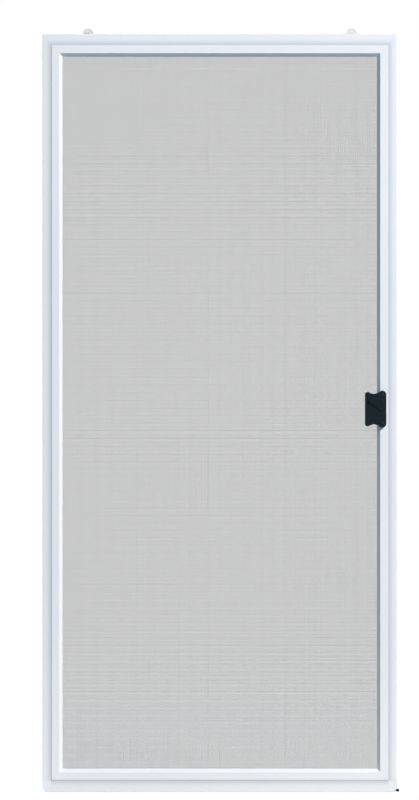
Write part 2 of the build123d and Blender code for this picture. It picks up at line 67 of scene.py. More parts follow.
class Yarn(Enum):
    """The two sets of yarns of the cloth, by the axis that each set is spaced along."""

    WARP = 0
    WEFT = 2


class Side(Enum):
    """The four sides of the frame: the axis across each side's member, and which way is inwards."""

    LEFT = (0, 1)
    RIGHT = (0, -1)
    TOP = (2, -1)
    BOTTOM = (2, 1)


def linear(hex_colour: str) -> tuple[float, float, float, float]:
    """Turn an sRGB hex colour into the linear values that shaders take.

    Args:
        hex_colour: six hex digits after a hash.

    Returns:
        Red, green, blue and an alpha of 1, each from 0 to 1.
    """
    parts = np.array([int(hex_colour[i:i + 2], 16) for i in (1, 3, 5)]) / 255
    low = parts / 12.92
    high = ((parts + 0.055) / 1.055) ** 2.4
    return (*np.where(parts <= 0.04045, low, high).tolist(), 1.0)


def add_node(tree: NodeTree, kind: str, links: Optional[dict] = None, **settings: Any) -> Node:
    """Add a node to a tree with its settings, its socket values and its links.

    Args:
        tree: the material's or world's node tree.
        kind: the node's type name less its "ShaderNode", such as "Math".
        links: socket name or number to a value, to the socket that feeds it, or to the node
            whose first output does.
        settings: the node's own properties.

    Returns:
        The new node.
    """
    made = tree.nodes.new(SHADER_NODE + kind)
    for name, value in settings.items():
        setattr(made, name, value)
    for socket, value in (links or {}).items():
        source = value.outputs[0] if isinstance(value, Node) else value
        if isinstance(source, NodeSocket):
            tree.links.new(source, made.inputs[socket])
        else:
            made.inputs[socket].default_value = source
    return made


def empty_material(name: str) -> tuple[Material, NodeTree]:
    """Make a material with an empty node tree.

    Args:
        name: the material's name.

    Returns:
        The material and its tree.
    """
    material = bpy.data.materials.new(name)
    material.use_nodes = True
    material.node_tree.nodes.clear()
    return material, material.node_tree


def corners_of(node: str) -> tuple[np.ndarray, np.ndarray]:
    """Return a node's lowest and highest corners at rest, as arrays."""
    low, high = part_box(node)
    return np.array(low), np.array(high)


def link_object(name: str, data: ID) -> Object:
    """Put a mesh, a lamp or a camera into the scene as a new object at the origin.

    Args:
        name: the object's name.
        data: what it shows.

    Returns:
        The object.
    """
    made = bpy.data.objects.new(name, data)
    bpy.context.scene.collection.objects.link(made)
    return made


@dataclass(frozen=True)
class BakedEnamel:
    """Baked polyester enamel on roll-formed steel strip.

    The eye sees a smooth neutral white with a soft gloss and a faint orange peel where it was
    sprayed. Grey is painted towards the step of the section as painted shade, where a real step
    would shade the flange, and it covers the step's narrow slope so that the slope shows no light or
    shade of its own. A hairline shows where two members meet.
    """

    name: str = "baked_white_enamel_on_rolled_steel"
    colour: str = "#EEEFEF"
    # Painted shade: the grey that the enamel turns to at the flange's step
    crease_shade_colour: str = "#CBCDCE"
    seam_colour: str = "#8E969C"
    roughness: float = 0.38
    ior: float = 1.5
    coat: float = 0.15
    coat_roughness: float = 0.2
    peel_mm: float = 2.2
    peel_depth_mm: float = 0.012
    peel_strength: float = 0.35
    cloud_mm: float = 260.0
    cloud_darkest: float = 0.975
    seam_mm: float = 0.5
    mitre_depth: float = 0.2
    butt_depth: float = 0.8
    # Depth of the painted shade by share: darkest at the step, and kept over the step's slope
    crease_shade_stops: tuple[tuple[float, float], ...] = (
        (0.0, 0.0), (0.15, 0.02), (0.26, 0.2), (0.36, 0.5), (0.45, 0.84), (0.5, 1.0), (0.51, 0.9),
        (0.53, 0.8), (0.535, 0.0))

    def material(self, section: "RolledFrame") -> Material:
        """Build the enamel, with its painted crease shade and its seams drawn from the frame's own widths.

        Args:
            section: the frame that it coats.

        Returns:
            The material.
        """
        material, tree = empty_material(self.name)
        place = add_node(tree, "TexCoord").outputs["Object"]
        share, off_mitre, off_butt = section.bands_and_seams(tree, place)
        # Painted shade: the enamel greys towards the flange's step and stays grey over the step's slope
        crease_shade = add_node(tree, "ValToRGB", {0: share})
        ramp = crease_shade.color_ramp
        ramp.elements.remove(ramp.elements[-1])
        for position, depth in self.crease_shade_stops:
            stop = ramp.elements[0] if position == 0.0 else ramp.elements.new(position)
            stop.color = (depth, depth, depth, 1.0)
        mitre, butt = (
            add_node(tree, "MapRange",
                     {0: distance, 1: self.seam_mm * MM / 4, 2: self.seam_mm * MM / 2, 3: depth, 4: 0.0})
            for distance, depth in ((off_mitre, self.mitre_depth), (off_butt, self.butt_depth)))
        seam = add_node(tree, "Math", {0: mitre, 1: butt}, operation="MAXIMUM")
        clouds = add_node(tree, "TexNoise",
                          {"Vector": place, "Scale": 1 / (self.cloud_mm * MM), "Detail": 2.0})
        cloud_tint = add_node(tree, "MapRange",
                              {0: clouds, 1: NOISE_LOW, 2: NOISE_HIGH, 3: self.cloud_darkest, 4: 1.0})
        crease_shaded = add_node(tree, "Mix", {0: crease_shade, 6: linear(self.colour),
                                         7: linear(self.crease_shade_colour)}, data_type="RGBA")
        seamed = add_node(tree, "Mix", {0: seam, 6: crease_shaded.outputs[2], 7: linear(self.seam_colour)},
                          data_type="RGBA")
        clouded = add_node(tree, "VectorMath",
                           {0: seamed.outputs[2], "Scale": cloud_tint}, operation="SCALE")
        peel = add_node(tree, "TexNoise",
                        {"Vector": place, "Scale": 1 / (self.peel_mm * MM), "Detail": 1.0})
        bump = add_node(tree, "Bump", {"Strength": self.peel_strength, "Distance": self.peel_depth_mm * MM,
                                       "Height": peel})
        shader = add_node(tree, "BsdfPrincipled",
                          {"Base Color": clouded, "Roughness": self.roughness, "IOR": self.ior,
                           "Coat Weight": self.coat, "Coat Roughness": self.coat_roughness, "Normal": bump})
        add_node(tree, "OutputMaterial", {0: shader})
        return material


@dataclass(frozen=True)
class PlainFinish:
    """A finish with a ground colour, a fine grain in tone and relief, and soft clouds.

    The scale of the grain is the real one of its process, in millimetres.
    """

    name: str
    colour: str
    second_colour: str
    grain_mm: float
    relief_mm: float
    roughness: float
    roughness_spread: float = 0.05
    metallic: float = 0.0
    ior: float = 1.5
    stretch: tuple[float, float, float] = (1.0, 1.0, 1.0)
    subsurface: float = 0.0
    subsurface_mm: float = 2.0
    specular: float = 0.5
    relief_strength: float = 0.5
    cloud_grains: float = 12.0
    blend_range: tuple[float, float] = (0.12, 0.4)

    def material(self) -> Material:
        """Build the finish as nodes.

        Returns:
            The material.
        """
        material, tree = empty_material(self.name)
        place = add_node(tree, "TexCoord").outputs["Object"]
        mapped = add_node(tree, "Mapping", {"Vector": place, "Scale": self.stretch})
        grain = add_node(tree, "TexNoise", {"Vector": mapped, "Scale": 1 / (self.grain_mm * MM),
                                            "Detail": 3.0})
        clouds = add_node(tree, "TexNoise",
                          {"Vector": place, "Scale": 1 / (self.cloud_grains * self.grain_mm * MM),
                           "Detail": 2.0})
        blend = add_node(tree, "Math", {0: grain, 1: clouds}, operation="MULTIPLY")
        low, high = self.blend_range
        share = add_node(tree, "MapRange", {0: blend, 1: low, 2: high})
        colour = add_node(tree, "Mix", {0: share, 6: linear(self.colour),
                                        7: linear(self.second_colour)}, data_type="RGBA")
        rough = add_node(tree, "MapRange", {0: clouds, 1: NOISE_LOW, 2: NOISE_HIGH,
                                            3: self.roughness - self.roughness_spread,
                                            4: self.roughness + self.roughness_spread})
        bump = add_node(tree, "Bump", {"Strength": self.relief_strength, "Distance": self.relief_mm * MM,
                                       "Height": grain})
        values = {"Base Color": colour.outputs[2], "Roughness": rough,
                  "Metallic": self.metallic, "Specular IOR Level": self.specular, "Normal": bump}
        if self.metallic == 0.0:
            values["IOR"] = self.ior
        if self.subsurface:
            values["Subsurface Weight"] = self.subsurface
            values["Subsurface Scale"] = self.subsurface_mm * MM
        shader = add_node(tree, "BsdfPrincipled", values)
        add_node(tree, "OutputMaterial", {0: shader})
        return material


# Vinyl coat on glass-fibre yarn: charcoal, slightly shiny, with the yarn's twist as a fine grain
SCREEN_VINYL = PlainFinish("vinyl_coated_glass_fibre_yarn", "#26292C", "#34383B", 0.6, 0.02, 0.55)
# Extruded soft vinyl: near black, satin, with drag marks along its length
BEAD_VINYL = PlainFinish("extruded_soft_vinyl_bead", "#2A2B2D", "#37383A", 0.9, 0.02, 0.48)
# Injection-moulded nylon: milky white that lets a little light in
WHEEL_NYLON = PlainFinish("moulded_natural_nylon", "#DCDDDB", "#E9E9E6", 1.6, 0.01, 0.42,
                          ior=1.53, subsurface=0.12)
KEY_NYLON = PlainFinish("moulded_white_nylon_key", "#C9CED2", "#D9DDE0", 1.4, 0.02, 0.5, ior=1.53)
# Bright zinc plating over pressed steel: pale metal with rolling marks along the strip
ZINC_PLATE = PlainFinish("zinc_plated_pressed_steel", "#CDD0D3", "#E0E2E4", 0.7, 0.006, 0.48,
                         metallic=1.0, stretch=(1.0, 1.0, 4.0))
# Injection-moulded ABS from a spark-eroded tool: black with a cold bloom and little gloss
BLACK_ABS = PlainFinish("spark_textured_black_abs", "#020F14", "#041B23", 0.5, 0.02, 0.5, ior=1.54,
                        specular=0.15)
# Chemical black on turned steel: almost black, dull, oily
BLACK_OXIDE = PlainFinish("black_oxide_on_turned_steel", "#16191C", "#22262A", 0.4, 0.006, 0.4,
                          metallic=0.6)
# Compression-moulded rubber: dead black with a soft dusty bloom
BUMPER_RUBBER = PlainFinish("moulded_black_rubber", "#060607", "#0E0F10", 0.5, 0.02, 0.75, ior=1.52,
                            specular=0.2)


def full_turn(steps: int) -> np.ndarray:
    """Return evenly spaced angles once round, the last one step short of the first."""
    return np.linspace(0, 2 * math.pi, steps, endpoint=False)


def sheet_faces(rows: int, columns: int, closed: bool = False) -> np.ndarray:
    """Number the quads of a grid of points that are stored row by row.

    The quad of row r and column c takes points c and c + 1 of rows r and r + 1; on a closed grid
    the last column is followed by the first.

    Args:
        rows: how many rows of points.
        columns: how many points in a row.
        closed: whether the rows are rings.

    Returns:
        One row of four point numbers for each quad.
    """
    column = np.arange(columns if closed else columns - 1)
    beside = (column + 1) % columns
    start = np.arange(rows - 1)[:, None] * columns
    ring = (start + column, start + beside, start + columns + beside, start + columns + column)
    return np.stack(ring, axis=-1).reshape(-1, 4)


def joined(grids: list[tuple[np.ndarray, np.ndarray]]) -> tuple[np.ndarray, np.ndarray]:
    """Put several sets of points and faces into one, with the later face numbers moved up.

    Args:
        grids: pairs of points and faces.

    Returns:
        All points and all faces.
    """
    starts = np.cumsum([0] + [len(points) for points, _ in grids[:-1]])
    points = np.concatenate([points for points, _ in grids])
    faces = np.concatenate([faces + start for (_, faces), start in zip(grids, starts)])
    return points, faces


def new_piece(name: str, points: np.ndarray, faces: np.ndarray, smooth_below: float = 0.0,
              weld: bool = True) -> Object:
    """Put arrays of points and faces into a new object at the origin.

    Args:
        name: the piece's name.
        points: n by 3 array of places in metres.
        faces: m by 4 array of point numbers.
        smooth_below: edges that turn by less than this many degrees are shaded smooth.
        weld: whether to merge doubled points and turn each closed shell's faces outwards.

    Returns:
        The object.
    """
    mesh = bpy.data.meshes.new(name)
    mesh.from_pydata(np.asarray(points, float).tolist(), [], faces.tolist())
    if weld:
        work = bmesh.new()
        work.from_mesh(mesh)
        bmesh.ops.remove_doubles(work, verts=work.verts, dist=MERGE_DISTANCE)
        bmesh.ops.recalc_face_normals(work, faces=work.faces)
        work.to_mesh(mesh)
        work.free()
    mesh.validate()
    if smooth_below:
        mesh.polygons.foreach_set("use_smooth", np.full(len(mesh.polygons), True))
        mesh.set_sharp_from_angle(angle=math.radians(smooth_below))
    return link_object(name, mesh)


def fit_out(piece: Object, material: Material, slot: str, body: str, *nodes: str) -> Object:
    """Give a new piece its finish and its body, and hide the nodes that it stands for.

    Args:
        piece: the new object.
        material: what it is made of.
        slot: the record's slot of that finish; not used.
        body: the body that it rides on.
        nodes: CAD nodes that it replaces.

    Returns:
        The same object.
    """
    piece.data.materials.append(material)
    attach(piece, body)
    if nodes:
        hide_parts(*nodes)
    return piece


def dress(names: list[str], material: Material) -> None:
    """Give CAD nodes a material in place of their plain one.

    Args:
        names: the nodes.
        material: what they are to be made of.
    """
    for name in names:
        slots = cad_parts[name].data.materials
        slots.clear()
        slots.append(material)


def turned(profile: np.ndarray, centre: np.ndarray, steps: int) -> tuple[np.ndarray, np.ndarray]:
    """Revolve a closed profile about a line through a point, along the door's Y axis.

    A profile point at radius r and distance y along the line goes to the centre plus r times the
    cosine and sine of the turn, across and up, and y.

    Args:
        profile: k by 2 array of radius and distance, closed on itself.
        centre: the middle of the turned part.
        steps: how many points go round.

    Returns:
        The points and faces of a closed ring.
    """
    turn = full_turn(steps)
    radius, along = profile[:, :1], np.repeat(profile[:, 1:], steps, axis=1)
    points = np.stack((centre[0] + radius * np.cos(turn), centre[1] + along,
                       centre[2] + radius * np.sin(turn)), axis=-1)
    return points.reshape(-1, 3), sheet_faces(len(profile), steps, closed=True)


@dataclass
class RolledFrame:
    """The four members of the frame, and where the steps of their section run."""

    members: tuple[str, ...] = ("left_stile", "right_stile", "top_rail", "bottom_rail")
    stile_flange_mm: float = 22.0
    top_flange_mm: float = 28.7
    bottom_flange_mm: float = 30.1
    step_reach_mm: float = 3.0
    finish: BakedEnamel = field(default_factory=BakedEnamel)

    def bands_and_seams(self, tree: NodeTree, place: Source) -> tuple[Source, ...]:
        """Add nodes that say how near a point of the outer flange lies to the step, and to a joint.

        A side's share is a half at its step and falls by one for each two stile flanges of
        distance outwards. The two sides and the top are mitred, so there the smallest share
        counts. The bottom rail's flange runs on under the stiles, with no step below them, so
        there the share is 0, and between the stiles it is the rail's own up to just past its step.

        Args:
            tree: the material's tree.
            place: the point in the door's own frame.

        Returns:
            The share, which sets how deep the painted shade near the step is, the distance from a mitre
            and the distance from the butt line where the bottom rail's flange passes a stile.
        """
        side_step, top_step, bottom_step = (
            width * MM for width in (self.stile_flange_mm, self.top_flange_mm, self.bottom_flange_mm))
        half = -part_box("left_stile")[0].x
        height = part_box("top_rail")[1].z
        parts = add_node(tree, "SeparateXYZ", {0: place})
        across = add_node(tree, "Math", {0: parts}, operation="ABSOLUTE")
        up = parts.outputs[2]
        folded = add_node(tree, "CombineXYZ", {0: across, 1: up, 2: up})
        insets = add_node(tree, "VectorMath", {0: folded, 1: (-1.0, -1.0, 1.0),
                                               2: (half - side_step, height - top_step, -bottom_step)},
                          operation="MULTIPLY_ADD")
        past_side, past_top, past_bottom = add_node(tree, "SeparateXYZ", {0: insets}).outputs
        nearer = add_node(tree, "Math", {0: past_side, 1: past_top}, operation="MINIMUM")
        side_or_top, bottom = (add_node(tree, "Math", {0: past, 1: 1 / (2 * side_step), 2: 0.5},
                                        operation="MULTIPLY_ADD") for past in (nearer, past_bottom))
        between = add_node(tree, "Math", {0: past_side, 1: 0.0}, operation="GREATER_THAN")
        foot, low_down = (add_node(tree, "Math", {0: past_bottom, 1: reach}, operation="LESS_THAN")
                          for reach in (0.0, self.step_reach_mm * MM))
        own, stepped = (add_node(tree, "Math", {0: share, 1: between}, operation="MULTIPLY")
                        for share in (bottom, low_down))
        pick = add_node(tree, "Math", {0: foot, 1: stepped}, operation="MAXIMUM")
        share = add_node(tree, "Mix", {0: pick, 2: side_or_top, 3: own}, data_type="FLOAT")
        off_mitre = add_node(tree, "Math", {0: self.off_mitres(tree, insets, nearer), 1: foot},
                             operation="ADD")
        off_line = add_node(tree, "Math", {0: past_bottom}, operation="ABSOLUTE")
        off_butt = add_node(tree, "Math", {0: off_line, 1: between}, operation="ADD")
        return share, off_mitre, off_butt

    def off_mitres(self, tree: NodeTree, insets: Source, nearer: Source) -> Node:
        """Add nodes that give the distance from the nearest mitre, on lines through the step's corners.

        The distance from a line is the size of the insets' product with the line's own weights.
        On the raised face both weights are equal, at 45 degrees. On the top's flange each is the
        flange width of the other member, which leads the line to the door's outer corner.

        Args:
            tree: the material's tree.
            insets: distances inwards from the side's, the top's and the bottom's step.
            nearer: the smaller of the first two, below 0 on the flange.

        Returns:
            The node that gives the distance.
        """
        even = math.sqrt(0.5)
        slant = math.hypot(self.top_flange_mm, self.stile_flange_mm)
        to_corner = (self.top_flange_mm / slant, -self.stile_flange_mm / slant, 0.0)
        offs = []
        for weights in ((even, -even, 0.0), to_corner, (even, 0.0, -even)):
            lead = add_node(tree, "VectorMath", {0: insets, 1: weights}, operation="DOT_PRODUCT")
            offs.append(add_node(tree, "Math", {0: lead.outputs["Value"]}, operation="ABSOLUTE"))
        flange = add_node(tree, "Math", {0: nearer, 1: 0.0}, operation="LESS_THAN")
        top = add_node(tree, "Mix", {0: flange, 2: offs[0], 3: offs[1]}, data_type="FLOAT")
        return add_node(tree, "Math", {0: top, 1: offs[2]}, operation="MINIMUM")

    def build(self) -> None:
        """Coat the members and dress the keys that show at the bottom corners."""
        dress(list(self.members), self.finish.material(self))
        dress([f"{corner}_corner_key" for corner in CORNERS], KEY_NYLON.material())


@dataclass
class WovenScreen:
    """Insect screen of 18 yarns an inch across and 16 an inch up.

    A loom never beats its yarns quite evenly, so each set drifts by a few waves of its own, given
    as a period in yarns and a reach in pitches, and by a little chance. They reach somewhat further
    than a real loom's, so that the faint lines they leave show. The layers are the heights of the
    two sets' middles over the outdoor side of the cloth's space, in yarn radii.
    """

    pitch_across_mm: float = 25.4 / 18
    pitch_up_mm: float = 25.4 / 16
    yarn_mm: float = 0.376
    yarn_sides: int = 8
    layers: tuple[float, float] = (1.0, 2.6)
    edge_pitches: float = 0.15
    warp_waves: tuple[tuple[float, float], ...] = ((4.1, 0.085), (5.9, 0.04), (25.0, 0.12))
    weft_waves: tuple[tuple[float, float], ...] = ((4.75, 0.025), (6.23, 0.102), (12.4, 0.098))
    wave_drift: float = 0.8
    drift_yarns: float = 97.0
    jitter: float = 0.04
    seed: int = 1816

    def stations(self, low: float, high: float, pitch: float,
                 waves: tuple[tuple[float, float], ...], random: np.random.Generator) -> np.ndarray:
        """Space one set of yarns.

        Yarn i stands at the middle plus i less half the count, times the pitch, plus each wave's
        reach times the sine of i over its period, whose phase drifts slowly, plus chance.

        Args:
            low: where the cloth starts.
            high: where it ends.
            pitch: the mean spacing.
            waves: period and reach of each wave.
            random: the source of chance.

        Returns:
            The middle of each yarn.
        """
        margin = self.yarn_mm * MM / 2 + self.edge_pitches * pitch
        count = int((high - low - 2 * margin) / pitch) + 1
        number = np.arange(count)
        moved = random.normal(0, self.jitter, count)
        for period, reach in waves:
            phase = self.wave_drift * np.sin(2 * math.pi * number / self.drift_yarns + period)
            moved += reach * np.sin(2 * math.pi * number / period + phase)
        even = (low + high) / 2 + (number - (count - 1) / 2) * pitch
        return np.clip(even + moved * pitch, low + margin, high - margin)

    def build(self) -> list[Object]:
        """Lay the cloth as two sets of straight round yarns, warp in front of weft.

        Each yarn is a closed many-sided bar from edge to edge of the cloth: corner k of its
        section lies at the yarn's middle plus its radius times the cosine of k and a half turns
        over the count of sides across, and the sine through the cloth. The bars of the two sets
        press into each other by a fifth of a yarn, as the hot vinyl welds them.

        Returns:
            The new pieces.
        """
        low, high = corners_of("screen_mesh")
        random = np.random.default_rng(self.seed)
        radius = self.yarn_mm * MM / 2
        turn = (np.arange(self.yarn_sides) + 0.5) * 2 * math.pi / self.yarn_sides
        reach = radius / math.cos(math.pi / self.yarn_sides)
        parts = []
        for yarn, pitch_mm, waves, layer in (
                (Yarn.WARP, self.pitch_across_mm, self.warp_waves, self.layers[0]),
                (Yarn.WEFT, self.pitch_up_mm, self.weft_waves, self.layers[1])):
            across, along = yarn.value, Yarn.WEFT.value - yarn.value
            middles = self.stations(low[across], high[across], pitch_mm * MM, waves, random)
            points = np.empty((len(middles), 2, self.yarn_sides, 3))
            points[..., across] = middles[:, None, None] + reach * np.cos(turn)
            points[..., along] = np.array((low[along], high[along]))[:, None]
            points[..., 1] = low[1] + layer * radius + reach * np.sin(turn)
            ring = sheet_faces(2, self.yarn_sides, closed=True)
            half = self.yarn_sides // 2
            ends = np.array([(k, k + 1, self.yarn_sides - 2 - k, self.yarn_sides - 1 - k)
                             for k in range(half - 1)])
            one = np.concatenate((ring, ends[:, ::-1], ends + self.yarn_sides))
            starts = 2 * self.yarn_sides * np.arange(len(middles))[:, None, None]
            parts.append((points.reshape(-1, 3), (one + starts).reshape(-1, 4)))
        points, faces = joined(parts)
        cloth = new_piece("screen_cloth", points, faces, smooth_below=50)
        fit_out(cloth, SCREEN_VINYL.material(), "screen_cloth", DOOR_BODY, "screen_mesh")
        list(RolledFrame().members)
        return [cloth]


@dataclass
class RibbedBead:
    """The extruded bead that locks the cloth into the groove on the indoor side."""

    ribs: int = 10
    rib_depth: float = 0.11
    points_round: int = 80

    def run(self, side: Side, node: str) -> Object:
        """Carry the ribbed section along one side, mitred at both ends.

        The section's radius is the bead's own, less the rib depth times half of one plus the
        cosine of its turn times the count of ribs. The bead's ends lean with the mitre, so a
        point further in starts and ends as much further along.

        Args:
            side: which side of the frame.
            node: the plain bead's node.

        Returns:
            The bead.
        """
        low, high = corners_of(node)
        across, inwards = side.value
        along = 2 - across
        radius = (high[1] - low[1]) / 2
        turn = full_turn(self.points_round)
        ribbed = radius * (1 - self.rib_depth * (1 + np.cos(self.ribs * turn)) / 2)
        depth = ribbed * np.cos(turn)
        lean = radius + inwards * depth
        points = np.empty((4, self.points_round, 3))
        ends = (low[along] + lean, high[along] - lean)
        middle = (low + high) / 2
        for row, (end, share) in enumerate(((0, 0.0), (0, 1.0), (1, 1.0), (1, 0.0))):
            points[row, :, across] = middle[across] + share * depth
            points[row, :, 1] = middle[1] + share * ribbed * np.sin(turn)
            points[row, :, along] = ends[end] * share + (1 - share) * ends[end].mean()
        return new_piece(f"{side.name.lower()}_ribbed_bead", points.reshape(-1, 3),
                         sheet_faces(4, self.points_round, closed=True), smooth_below=60)

    def build(self) -> list[Object]:
        """Make the four lengths.

        Returns:
            The new pieces.
        """
        vinyl = BEAD_VINYL.material()
        made = []
        for side in Side:
            node = f"{side.name.lower()}_bead"
            made.append(fit_out(self.run(side, node), vinyl, "vinyl_bead", DOOR_BODY, node))
        return made


@dataclass
class RollerSet:
    """The four rollers: moulded wheels, and the pressed metal round them."""

    metal: tuple[str, ...] = ("roller_housing", "carriage", "axle", "adjusting_screw")
    bore_mm: float = 2.05
    hub_mm: float = 5.0
    hub_step_mm: float = 0.5
    rim_mm: float = 1.6
    groove_mm: float = 1.6
    web_sink_mm: float = 0.45
    fillet_mm: float = 0.35
    web_end_rims: float = 2.2
    shoulder_rims: float = 0.7
    tread_fullness: float = 0.8
    corner_points: int = 5
    web_points: int = 7
    tread_points: int = 9
    steps: int = 96

    def wheel_profile(self, radius: float, half_width: float) -> np.ndarray:
        """Draw the wheel's section: bore, proud hub, sunk web, rounded rims and a hollow tread.

        From shoulder to middle the tread sinks by its groove times the cosine of a quarter turn,
        to a power under one that makes it full. The web meets hub and rim in smooth steps, three
        squares less two cubes, and each corner of rim and hub is a quarter circle.

        Args:
            radius: the wheel's outer radius.
            half_width: half the width over the hub.

        Returns:
            Radius and distance of each point, closed on itself.
        """
        bore, hub, step, rim, groove, sink, fillet = (
            size * MM for size in (self.bore_mm, self.hub_mm, self.hub_step_mm, self.rim_mm,
                                   self.groove_mm, self.web_sink_mm, self.fillet_mm))
        side = half_width - step
        quarter = np.linspace(0, math.pi / 2, self.corner_points)
        hub_edge = np.stack((hub - fillet + fillet * np.sin(quarter),
                             half_width - fillet + fillet * np.cos(quarter)), axis=1)
        slope = np.linspace(0, 1, self.web_points)
        smooth = sink * slope ** 2 * (3 - 2 * slope)
        web_in = np.stack((hub + fillet * (1 + slope), side - smooth), axis=1)
        web_out = np.stack((radius - self.web_end_rims * rim + fillet * 2 * slope,
                            side - sink + smooth), axis=1)
        rim_edge = np.stack((radius - fillet + fillet * np.sin(quarter),
                             side - fillet + fillet * np.cos(quarter)), axis=1)
        span = np.linspace(1, 0, self.tread_points)
        hollow = groove * np.cos(span * math.pi / 2) ** self.tread_fullness
        tread = np.stack((radius - hollow, (side - rim * self.shoulder_rims) * span), axis=1)
        half = np.concatenate(([(bore, 0), (bore, half_width)], hub_edge, web_in, web_out, rim_edge, tread))
        mirrored = half[-2:0:-1] * np.array((1, -1))
        return np.concatenate((half, mirrored, half[:1]))

    def wheel(self, corner: str, nylon: Material) -> Object:
        """Turn one wheel on its axle.

        Args:
            corner: the corner that it runs in.
            nylon: what it is moulded from.

        Returns:
            The wheel.
        """
        node = f"{corner}_wheel"
        low, high = corners_of(node)
        profile = self.wheel_profile((high[0] - low[0]) / 2, (high[1] - low[1]) / 2)
        points, faces = turned(profile, (low + high) / 2, self.steps)
        wheel = new_piece(f"{corner}_moulded_wheel", points, faces, smooth_below=40)
        return fit_out(wheel, nylon, "wheel_nylon", f"{corner}_wheel_body", node)

    def build(self) -> list[Object]:
        """Dress the pressed metal and make the wheels.

        Returns:
            The new pieces.
        """
        dress([f"{corner}_{piece}" for corner in CORNERS for piece in self.metal], ZINC_PLATE.material())
        nylon = WHEEL_NYLON.material()
        return [self.wheel(corner, nylon) for corner in CORNERS]


@dataclass
class PullShape:
    """Outline of the pulls: four lobes and two waists, all tangent arcs, drawn at any inset."""

    width_mm: float = 53.2
    right_height_mm: float = 47.6
    left_height_mm: float = 44.3
    right_lobe_mm: float = 10.2
    left_lobe_mm: float = 6.0
    waist_mm: float = 21.5
    columns: int = 61
    rows: int = 49

    def half_height(self, across: np.ndarray, inset: float) -> np.ndarray:
        """Say how far the outline reaches up from its middle.

        Left of the first tangent point this is the left lobe's circle, right of the second one
        the right lobe's, and between them the underside of the waist's circle. An inset makes
        the lobes smaller and the waist larger by its own size.

        Args:
            across: places across the pull, from its middle, in millimetres.
            inset: how far inside the real edge the outline is drawn.

        Returns:
            The half height at each place.
        """
        left = np.array((self.left_lobe_mm - self.width_mm / 2, self.left_height_mm - self.left_lobe_mm))
        right = np.array((self.width_mm / 2 - self.right_lobe_mm, self.right_height_mm - self.right_lobe_mm))
        between = right - left
        length = np.hypot(*between)
        left_span, right_span = self.left_lobe_mm + self.waist_mm, self.right_lobe_mm + self.waist_mm
        along = (length ** 2 + left_span ** 2 - right_span ** 2) / (2 * length)
        ahead = between / length
        aside = np.array((-ahead[1], ahead[0]))
        waist = left + ahead * along + aside * math.sqrt(left_span ** 2 - along ** 2)
        first = left[0] + (waist - left)[0] * (self.left_lobe_mm - inset) / left_span
        second = right[0] + (waist - right)[0] * (self.right_lobe_mm - inset) / right_span

        def arc(centre: np.ndarray, radius: float, sign: float) -> np.ndarray:
            """Height of a circle's upper or lower half."""
            return centre[1] + sign * np.sqrt(np.maximum(radius ** 2 - (across - centre[0]) ** 2, 0))

        left_arc = arc(left, self.left_lobe_mm - inset, 1)
        waist_arc = arc(waist, self.waist_mm + inset, -1)
        right_arc = arc(right, self.right_lobe_mm - inset, 1)
        return np.where(across < first, left_arc, np.where(across < second, waist_arc, right_arc))

    def face(self, inset: float, start_mm: Optional[float] = None) -> np.ndarray:
        """Spread a grid over the outline.

        Column u lies across the pull by half of one less the cosine of half a turn times u, which
        crowds the columns at both ends, and row v lies at v times the half height there.

        Args:
            inset: how far inside the real edge.
            start_mm: where the grid starts across the pull, if not at its left edge.

        Returns:
            Columns by rows by 2 array of places, in millimetres from the middle.
        """
        left = (-self.width_mm / 2 if start_mm is None else start_mm) + inset
        share = (1 - np.cos(np.linspace(0, math.pi, self.columns))) / 2
        across = left + (self.width_mm / 2 - inset - left) * share
        up = np.linspace(-1, 1, self.rows)[None] * self.half_height(across, inset)[:, None]
        return np.stack((np.repeat(across[:, None], self.rows, axis=1), up), axis=-1)


def rim_of(grid: np.ndarray) -> np.ndarray:
    """Return the points round the edge of a columns by rows by k grid, in order."""
    return np.concatenate((grid[:-1, 0], grid[-1, :-1], grid[:0:-1, -1], grid[0, :0:-1]))


